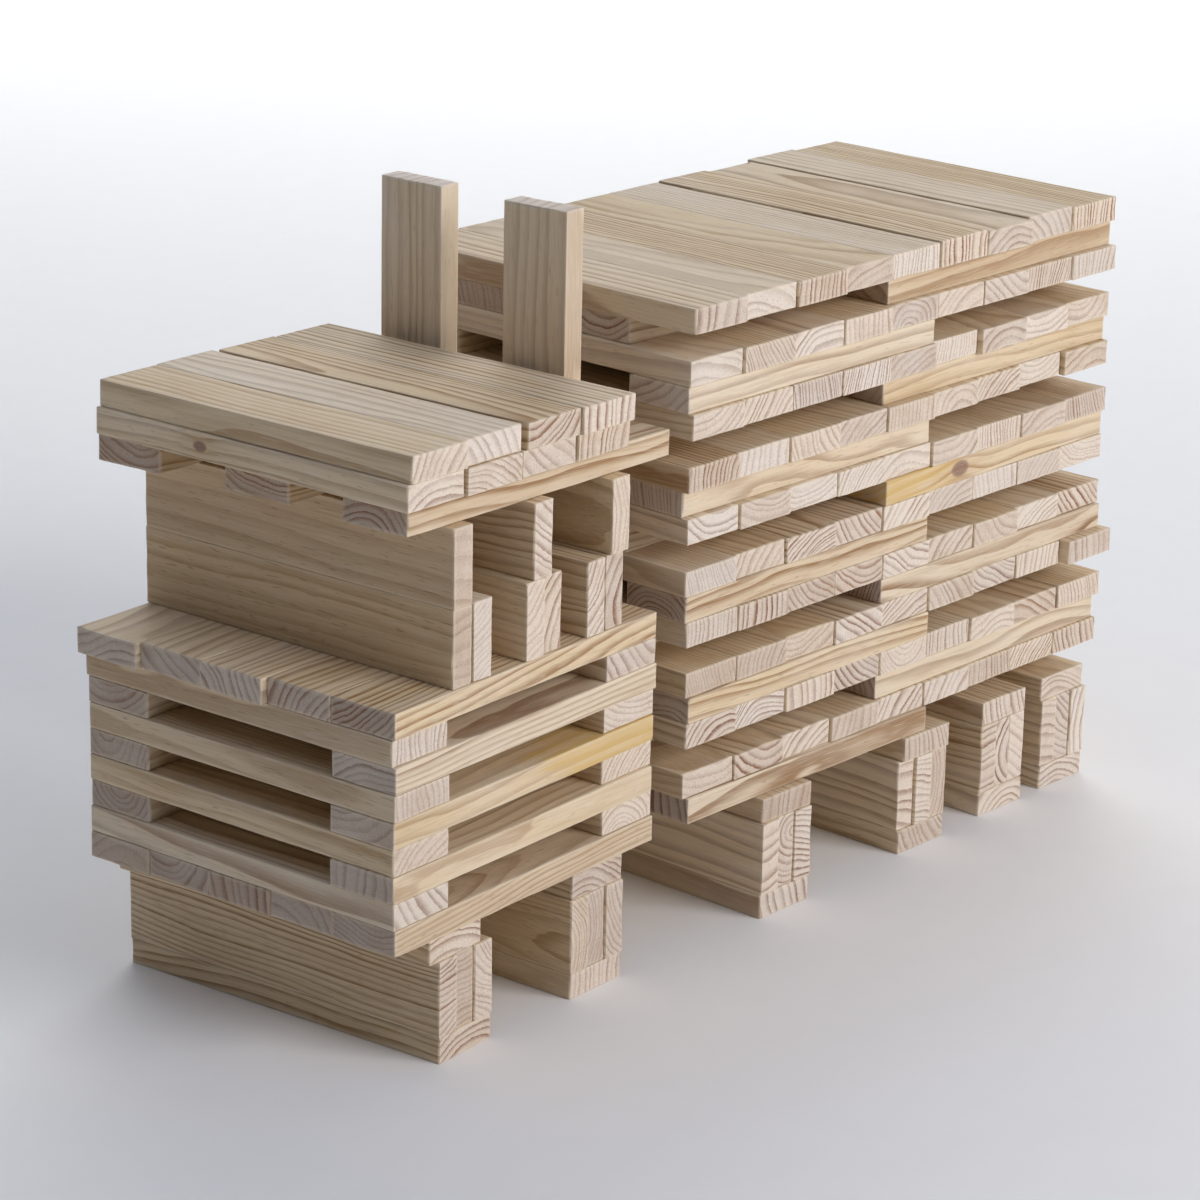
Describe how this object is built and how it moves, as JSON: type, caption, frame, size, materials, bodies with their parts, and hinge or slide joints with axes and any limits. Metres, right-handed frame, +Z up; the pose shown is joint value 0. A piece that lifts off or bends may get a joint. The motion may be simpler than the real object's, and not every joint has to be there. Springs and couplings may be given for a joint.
{
  "type": "stacked plank lorry",
  "caption": "Toy lorry hand-stacked from loose pine planks: cab with roof and exhaust stacks, slatted load box on plank axle blocks.",
  "frame": {"origin": "on the ground, under the middle of the whole lorry", "axes": "+X from the cab to the rear of the load, +Y from the near side to the far side, +Z up"},
  "size_m": [0.3562, 0.1396, 0.2284],
  "materials": {
    "cab_front_axle": "sanded, unfinished pine with visible growth rings",
    "cab_rear_axle": "sanded, unfinished pine with visible growth rings",
    "cab_base_bottom_row": "sanded, unfinished pine with visible growth rings",
    "cab_base_cross_pair_1": "sanded, unfinished pine with visible growth rings",
    "cab_base_side_pair_1": "sanded, unfinished pine with visible growth rings",
    "cab_base_cross_pair_2": "sanded, unfinished pine with visible growth rings",
    "cab_base_side_pair_2": "sanded, unfinished pine with visible growth rings",
    "cab_base_cross_pair_3": "sanded, unfinished pine with visible growth rings",
    "cab_base_side_pair_3": "sanded, unfinished pine with visible growth rings",
    "cab_base_cross_pair_4": "sanded, unfinished pine with visible growth rings",
    "cab_base_top_row": "sanded, unfinished pine with visible growth rings",
    "cabin_front_lower": "sanded, unfinished pine with visible growth rings",
    "cabin_front_brace": "sanded, unfinished pine with visible growth rings",
    "cabin_middle_lower_front": "sanded, unfinished pine with visible growth rings",
    "cabin_middle_lower_rear": "sanded, unfinished pine with visible growth rings",
    "cabin_rear_brace": "sanded, unfinished pine with visible growth rings",
    "cabin_rear_lower": "sanded, unfinished pine with visible growth rings",
    "cabin_front_upper": "sanded, unfinished pine with visible growth rings",
    "cabin_middle_upper": "sanded, unfinished pine with visible growth rings",
    "cabin_rear_upper": "sanded, unfinished pine with visible growth rings",
    "cab_roof_rails": "sanded, unfinished pine with visible growth rings",
    "cab_roof_lower_row": "sanded, unfinished pine with visible growth rings",
    "cab_roof_plank_1": "sanded, unfinished pine with visible growth rings",
    "cab_roof_plank_2": "sanded, unfinished pine with visible growth rings",
    "cab_roof_plank_3": "sanded, unfinished pine with visible growth rings",
    "cab_roof_plank_4": "sanded, unfinished pine with visible growth rings",
    "exhaust_stack_near": "sanded, unfinished pine with visible growth rings",
    "exhaust_stack_far": "sanded, unfinished pine with visible growth rings",
    "load_axle_1": "sanded, unfinished pine with visible growth rings",
    "load_axle_2": "sanded, unfinished pine with visible growth rings",
    "load_axle_3": "sanded, unfinished pine with visible growth rings",
    "load_axle_4": "sanded, unfinished pine with visible growth rings",
    "load_bearers_1": "sanded, unfinished pine with visible growth rings",
    "load_floor_1": "sanded, unfinished pine with visible growth rings",
    "load_bearers_2": "sanded, unfinished pine with visible growth rings",
    "load_floor_2": "sanded, unfinished pine with visible growth rings",
    "load_bearers_3": "sanded, unfinished pine with visible growth rings",
    "load_floor_3": "sanded, unfinished pine with visible growth rings",
    "load_bearers_4": "sanded, unfinished pine with visible growth rings",
    "load_floor_4": "sanded, unfinished pine with visible growth rings",
    "load_bearers_5": "sanded, unfinished pine with visible growth rings",
    "load_floor_5": "sanded, unfinished pine with visible growth rings",
    "load_bearers_6": "sanded, unfinished pine with visible growth rings",
    "load_floor_6": "sanded, unfinished pine with visible growth rings",
    "load_bearers_7": "sanded, unfinished pine with visible growth rings",
    "load_floor_7": "sanded, unfinished pine with visible growth rings",
    "load_bearers_8": "sanded, unfinished pine with visible growth rings",
    "load_floor_8": "sanded, unfinished pine with visible growth rings",
    "load_bearers_9": "sanded, unfinished pine with visible growth rings",
    "load_floor_9": "sanded, unfinished pine with visible growth rings",
    "load_bearers_10": "sanded, unfinished pine with visible growth rings",
    "load_roof_plank_1": "sanded, unfinished pine with visible growth rings",
    "load_roof_plank_2": "sanded, unfinished pine with visible growth rings",
    "load_roof_plank_3": "sanded, unfinished pine with visible growth rings",
    "load_roof_plank_4": "sanded, unfinished pine with visible growth rings",
    "load_roof_plank_5": "sanded, unfinished pine with visible growth rings",
    "load_roof_plank_6": "sanded, unfinished pine with visible growth rings",
    "load_roof_plank_7": "sanded, unfinished pine with visible growth rings",
    "load_roof_plank_8": "sanded, unfinished pine with visible growth rings",
    "load_roof_plank_9": "sanded, unfinished pine with visible growth rings"
  },
  "bodies": {
    "stacked_lorry": {"cab_front_axle": "cab_front_axle", "cab_rear_axle": "cab_rear_axle", "cab_base_bottom_row": "cab_base_bottom_row", "cab_base_cross_pair_1": "cab_base_cross_pair_1", "cab_base_side_pair_1": "cab_base_side_pair_1", "cab_base_cross_pair_2": "cab_base_cross_pair_2", "cab_base_side_pair_2": "cab_base_side_pair_2", "cab_base_cross_pair_3": "cab_base_cross_pair_3", "cab_base_side_pair_3": "cab_base_side_pair_3", "cab_base_cross_pair_4": "cab_base_cross_pair_4", "cab_base_top_row": "cab_base_top_row", "cabin_front_lower": "cabin_front_lower", "cabin_middle_lower_front": "cabin_middle_lower_front", "cabin_middle_lower_rear": "cabin_middle_lower_rear", "cabin_rear_lower": "cabin_rear_lower", "load_axle_1": "load_axle_1", "load_axle_2": "load_axle_2", "load_axle_3": "load_axle_3", "load_axle_4": "load_axle_4", "load_bearers_1": "load_bearers_1", "load_floor_1": "load_floor_1", "load_bearers_2": "load_bearers_2", "load_floor_2": "load_floor_2", "load_bearers_3": "load_bearers_3", "load_floor_3": "load_floor_3", "load_bearers_4": "load_bearers_4", "load_floor_4": "load_floor_4", "load_bearers_5": "load_bearers_5", "load_floor_5": "load_floor_5", "load_bearers_6": "load_bearers_6", "load_floor_6": "load_floor_6", "load_bearers_7": "load_bearers_7", "load_floor_7": "load_floor_7", "load_bearers_8": "load_bearers_8", "load_floor_8": "load_floor_8", "load_bearers_9": "load_bearers_9", "load_floor_9": "load_floor_9", "load_bearers_10": "load_bearers_10"},
    "near_exhaust_stack": {"exhaust_stack_near": "exhaust_stack_near"},
    "far_exhaust_stack": {"exhaust_stack_far": "exhaust_stack_far"},
    "front_brace": {"cabin_front_brace": "cabin_front_brace"},
    "rear_brace": {"cabin_rear_brace": "cabin_rear_brace"},
    "front_wall_upper": {"cabin_front_upper": "cabin_front_upper"},
    "middle_wall_upper": {"cabin_middle_upper": "cabin_middle_upper"},
    "rear_wall_upper": {"cabin_rear_upper": "cabin_rear_upper"},
    "cab_roof_frame": {"cab_roof_rails": "cab_roof_rails"},
    "cab_roof_deck": {"cab_roof_lower_row": "cab_roof_lower_row"},
    "cab_roof_top_1": {"cab_roof_plank_1": "cab_roof_plank_1"},
    "cab_roof_top_2": {"cab_roof_plank_2": "cab_roof_plank_2"},
    "cab_roof_top_3": {"cab_roof_plank_3": "cab_roof_plank_3"},
    "cab_roof_top_4": {"cab_roof_plank_4": "cab_roof_plank_4"},
    "load_roof_top_1": {"load_roof_plank_1": "load_roof_plank_1"},
    "load_roof_top_2": {"load_roof_plank_2": "load_roof_plank_2"},
    "load_roof_top_3": {"load_roof_plank_3": "load_roof_plank_3"},
    "load_roof_top_4": {"load_roof_plank_4": "load_roof_plank_4"},
    "load_roof_top_5": {"load_roof_plank_5": "load_roof_plank_5"},
    "load_roof_top_6": {"load_roof_plank_6": "load_roof_plank_6"},
    "load_roof_top_7": {"load_roof_plank_7": "load_roof_plank_7"},
    "load_roof_top_8": {"load_roof_plank_8": "load_roof_plank_8"},
    "load_roof_top_9": {"load_roof_plank_9": "load_roof_plank_9"}
  },
  "joints": [
    {"name": "near_stack_lift", "type": "slide", "parent": "stacked_lorry", "child": "near_exhaust_stack", "axis": [0, 0, 1], "range_m": [0, 0.12]},
    {"name": "far_stack_lift", "type": "slide", "parent": "stacked_lorry", "child": "far_exhaust_stack", "axis": [0, 0, 1], "range_m": [0, 0.12]},
    {"name": "front_brace_pull", "type": "slide", "parent": "stacked_lorry", "child": "front_brace", "axis": [0, -1, 0], "range_m": [0, 0.13]},
    {"name": "rear_brace_pull", "type": "slide", "parent": "stacked_lorry", "child": "rear_brace", "axis": [0, -1, 0], "range_m": [0, 0.13]},
    {"name": "front_upper_pull", "type": "slide", "parent": "stacked_lorry", "child": "front_wall_upper", "axis": [0, -1, 0], "range_m": [0, 0.13]},
    {"name": "middle_upper_pull", "type": "slide", "parent": "stacked_lorry", "child": "middle_wall_upper", "axis": [0, -1, 0], "range_m": [0, 0.13]},
    {"name": "rear_upper_pull", "type": "slide", "parent": "stacked_lorry", "child": "rear_wall_upper", "axis": [0, -1, 0], "range_m": [0, 0.13]},
    {"name": "cab_roof_lift", "type": "slide", "parent": "stacked_lorry", "child": "cab_roof_frame", "axis": [0, 0, 1], "range_m": [0, 0.09]},
    {"name": "cab_deck_lift", "type": "slide", "parent": "cab_roof_frame", "child": "cab_roof_deck", "axis": [0, 0, 1], "range_m": [0, 0.06]},
    {"name": "cab_top_plank_1_lift", "type": "slide", "parent": "cab_roof_deck", "child": "cab_roof_top_1", "axis": [0, 0, 1], "range_m": [0, 0.06]},
    {"name": "cab_top_plank_2_lift", "type": "slide", "parent": "cab_roof_deck", "child": "cab_roof_top_2", "axis": [0, 0, 1], "range_m": [0, 0.06]},
    {"name": "cab_top_plank_3_lift", "type": "slide", "parent": "cab_roof_deck", "child": "cab_roof_top_3", "axis": [0, 0, 1], "range_m": [0, 0.06]},
    {"name": "cab_top_plank_4_lift", "type": "slide", "parent": "cab_roof_deck", "child": "cab_roof_top_4", "axis": [0, 0, 1], "range_m": [0, 0.06]},
    {"name": "load_roof_plank_1_lift", "type": "slide", "parent": "stacked_lorry", "child": "load_roof_top_1", "axis": [0, 0, 1], "range_m": [0, 0.05]},
    {"name": "load_roof_plank_2_lift", "type": "slide", "parent": "stacked_lorry", "child": "load_roof_top_2", "axis": [0, 0, 1], "range_m": [0, 0.05]},
    {"name": "load_roof_plank_3_lift", "type": "slide", "parent": "stacked_lorry", "child": "load_roof_top_3", "axis": [0, 0, 1], "range_m": [0, 0.05]},
    {"name": "load_roof_plank_4_lift", "type": "slide", "parent": "stacked_lorry", "child": "load_roof_top_4", "axis": [0, 0, 1], "range_m": [0, 0.05]},
    {"name": "load_roof_plank_5_lift", "type": "slide", "parent": "stacked_lorry", "child": "load_roof_top_5", "axis": [0, 0, 1], "range_m": [0, 0.05]},
    {"name": "load_roof_plank_6_lift", "type": "slide", "parent": "stacked_lorry", "child": "load_roof_top_6", "axis": [0, 0, 1], "range_m": [0, 0.05]},
    {"name": "load_roof_plank_7_lift", "type": "slide", "parent": "stacked_lorry", "child": "load_roof_top_7", "axis": [0, 0, 1], "range_m": [0, 0.05]},
    {"name": "load_roof_plank_8_lift", "type": "slide", "parent": "stacked_lorry", "child": "load_roof_top_8", "axis": [0, 0, 1], "range_m": [0, 0.05]},
    {"name": "load_roof_plank_9_lift", "type": "slide", "parent": "stacked_lorry", "child": "load_roof_top_9", "axis": [0, 0, 1], "range_m": [0, 0.05]}
  ]
}
